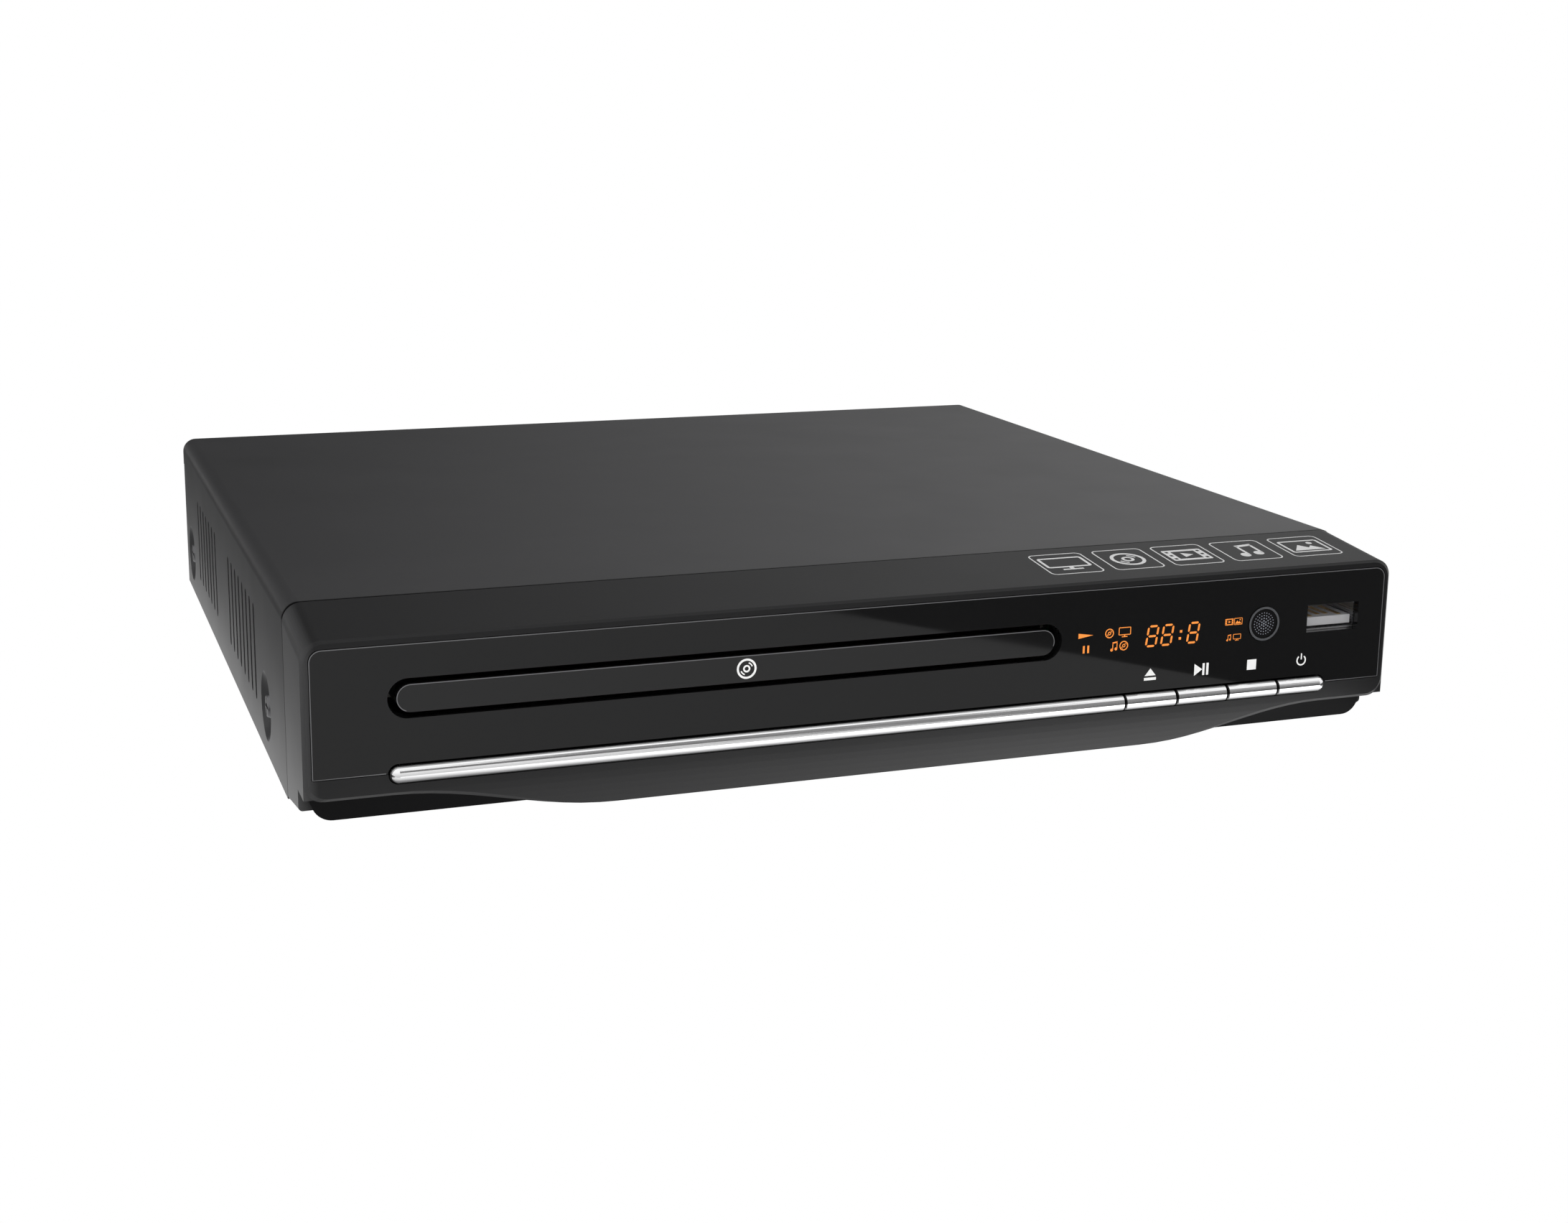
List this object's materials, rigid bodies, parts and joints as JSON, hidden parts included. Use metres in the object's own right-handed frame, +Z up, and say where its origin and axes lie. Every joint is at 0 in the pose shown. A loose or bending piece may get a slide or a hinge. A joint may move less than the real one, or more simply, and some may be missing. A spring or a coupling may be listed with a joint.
{
  "type": "disc player",
  "caption": "Compact disc player with a motor-driven tray, smoked lens front, chrome bar with four buttons, and a full loader inside.",
  "frame": {"origin": "middle of the footprint, on the surface that the feet stand on", "axes": "+X to the right seen from the front, +Y to the rear, +Z up"},
  "size_m": [0.225, 0.2152, 0.0424],
  "materials": {
    "cover_paint": "satin powder paint",
    "zinc_steel": "zinc-plated sheet",
    "panel_paint": "matt black paint",
    "bezel_black": "satin moulded ABS",
    "plinth_black": "dark moulded ABS",
    "lens_smoke": "polished smoked acrylic",
    "chrome_trim": "satin chrome plating",
    "tray_black": "fine-textured moulded ABS",
    "pcb_green": "solder mask",
    "pcb_tan": "phenolic board",
    "component_black": "epoxy",
    "bright_steel": "nickel plated",
    "insulator_white": "moulded nylon",
    "frame_white": "moulded POM and ABS",
    "gear_white": "moulded POM",
    "soft_rubber": "matt rubber",
    "deck_black": "glass-filled nylon",
    "lens_glass": "coated glass",
    "pickup_metal": "die-cast",
    "cap_blue": "sleeve",
    "heat_sink_alu": "extruded",
    "ferrite": "sintered ferrite"
  },
  "bodies": {
    "root": {"top_cover": "cover_paint", "base_pan": "zinc_steel", "rear_panel": "panel_paint", "front_bezel": "bezel_black", "front_plinth": "plinth_black", "front_lens": "lens_smoke", "sensor_window": "lens_smoke", "trim_bar": "chrome_trim", "front_pcb": "pcb_green", "display_module": "component_black", "ir_receiver": "component_black", "tact_switches": "component_black", "usb_shell": "bright_steel", "usb_tongue": "insulator_white", "loader_frame": "frame_white", "loading_motor": "bright_steel", "loading_belt": "soft_rubber", "clamp_bridge": "zinc_steel", "main_pcb": "pcb_green", "decoder_chips": "component_black", "power_pcb": "pcb_tan", "power_transformer": "ferrite", "bulk_capacitor": "cap_blue", "heat_sink": "heat_sink_alu", "av_pcb": "pcb_green", "av_jack_block": "component_black", "av_jack_shells": "bright_steel", "av_jack_inserts": "insulator_white", "hdmi_socket": "bright_steel", "mains_inlet": "component_black", "foot_front_left": "soft_rubber", "foot_front_right": "soft_rubber", "foot_rear_left": "soft_rubber", "foot_rear_right": "soft_rubber", "side_screws": "bright_steel", "rear_screws": "bright_steel", "loader_screws": "bright_steel", "ribbon_cable": "insulator_white"},
    "tray": {"disc_tray": "tray_black", "tray_door": "lens_smoke"},
    "tray_gear": {"tray_gear": "gear_white"},
    "pulley_gear": {"pulley_gear": "gear_white"},
    "motor_pulley": {"motor_pulley": "gear_white"},
    "cam_slider": {"cam_slider": "frame_white"},
    "traverse": {"traverse_deck": "deck_black", "spindle_motor": "bright_steel", "guide_rails": "bright_steel", "sled_motor": "bright_steel"},
    "turntable": {"turntable": "tray_black", "turntable_pad": "soft_rubber"},
    "pickup": {"optical_pickup": "pickup_metal", "pickup_lens": "lens_glass"},
    "sled_gear": {"sled_gear": "gear_white"},
    "sled_pinion": {"sled_pinion": "gear_white"},
    "clamp": {"clamp_puck": "frame_white", "clamp_plate": "zinc_steel"},
    "eject_button": {"eject_button": "chrome_trim"},
    "play_button": {"play_button": "chrome_trim"},
    "stop_button": {"stop_button": "chrome_trim"},
    "power_button": {"power_button": "chrome_trim"}
  },
  "joints": [
    {"name": "tray_slide", "type": "slide", "parent": "root", "child": "tray", "axis": [0, -1, 0], "range_m": [0, 0.13]},
    {"name": "tray_gear_spin", "type": "hinge", "parent": "root", "child": "tray_gear", "pos_m": [0.0398, -0.0756, 0.02215], "axis": [0, 0, 1], "range_deg": [0, 932.06]},
    {"name": "pulley_gear_spin", "type": "hinge", "parent": "root", "child": "pulley_gear", "pos_m": [0.049, -0.05967, 0.01775], "axis": [0, 0, 1], "range_deg": [-2638.99, 0]},
    {"name": "motor_pulley_spin", "type": "hinge", "parent": "root", "child": "motor_pulley", "pos_m": [0.049, -0.03367, 0.01775], "axis": [0, 0, 1], "range_deg": [-7914.98, 0]},
    {"name": "traverse_tilt", "type": "hinge", "parent": "root", "child": "traverse", "pos_m": [-0.0308, 0.0569, 0.01995], "axis": [-1, 0, 0], "range_deg": [0, 4.6]},
    {"name": "cam_slide", "type": "slide", "parent": "root", "child": "cam_slider", "axis": [-1, 0, 0], "range_m": [0, 0.0162]},
    {"name": "turntable_spin", "type": "hinge", "parent": "traverse", "child": "turntable", "pos_m": [-0.0308, -0.03785, 0.01308], "axis": [0, -0.0802, 0.9968], "continuous": true},
    {"name": "pickup_slide", "type": "slide", "parent": "traverse", "child": "pickup", "axis": [0, 0.9968, 0.0802], "range_m": [0, 0.034]},
    {"name": "sled_gear_spin", "type": "hinge", "parent": "traverse", "child": "sled_gear", "pos_m": [0.0006, 0.00002, 0.01613], "axis": [0, -0.0802, 0.9968], "range_deg": [-305.38, 0]},
    {"name": "sled_pinion_spin", "type": "hinge", "parent": "traverse", "child": "sled_pinion", "pos_m": [0.0006, 0.00949, 0.01689], "axis": [0, -0.0802, 0.9968], "range_deg": [0, 660.5]},
    {"name": "clamp_spin", "type": "hinge", "parent": "root", "child": "clamp", "pos_m": [-0.0308, -0.0381, 0.03225], "axis": [0, 0, 1], "continuous": true},
    {"name": "eject_press", "type": "slide", "parent": "root", "child": "eject_button", "axis": [0, 1, 0], "range_m": [0, 0.0008], "stiffness_N_per_m": 1200},
    {"name": "play_press", "type": "slide", "parent": "root", "child": "play_button", "axis": [0, 1, 0], "range_m": [0, 0.0008], "stiffness_N_per_m": 1200},
    {"name": "stop_press", "type": "slide", "parent": "root", "child": "stop_button", "axis": [0, 1, 0], "range_m": [0, 0.0008], "stiffness_N_per_m": 1200},
    {"name": "power_press", "type": "slide", "parent": "root", "child": "power_button", "axis": [0, 1, 0], "range_m": [0, 0.0008], "stiffness_N_per_m": 1200}
  ],
  "couplings": [
    {"joint": "tray_gear_spin", "follows": "tray_slide", "rad_per_m": 125},
    {"joint": "pulley_gear_spin", "follows": "tray_slide", "rad_per_m": -354.17},
    {"joint": "motor_pulley_spin", "follows": "tray_slide", "rad_per_m": -1062.5},
    {"joint": "cam_slide", "follows": "traverse_tilt", "m_per_rad": 0.19929},
    {"joint": "sled_gear_spin", "follows": "pickup_slide", "rad_per_m": -156.25},
    {"joint": "sled_pinion_spin", "follows": "pickup_slide", "rad_per_m": 338.54}
  ]
}
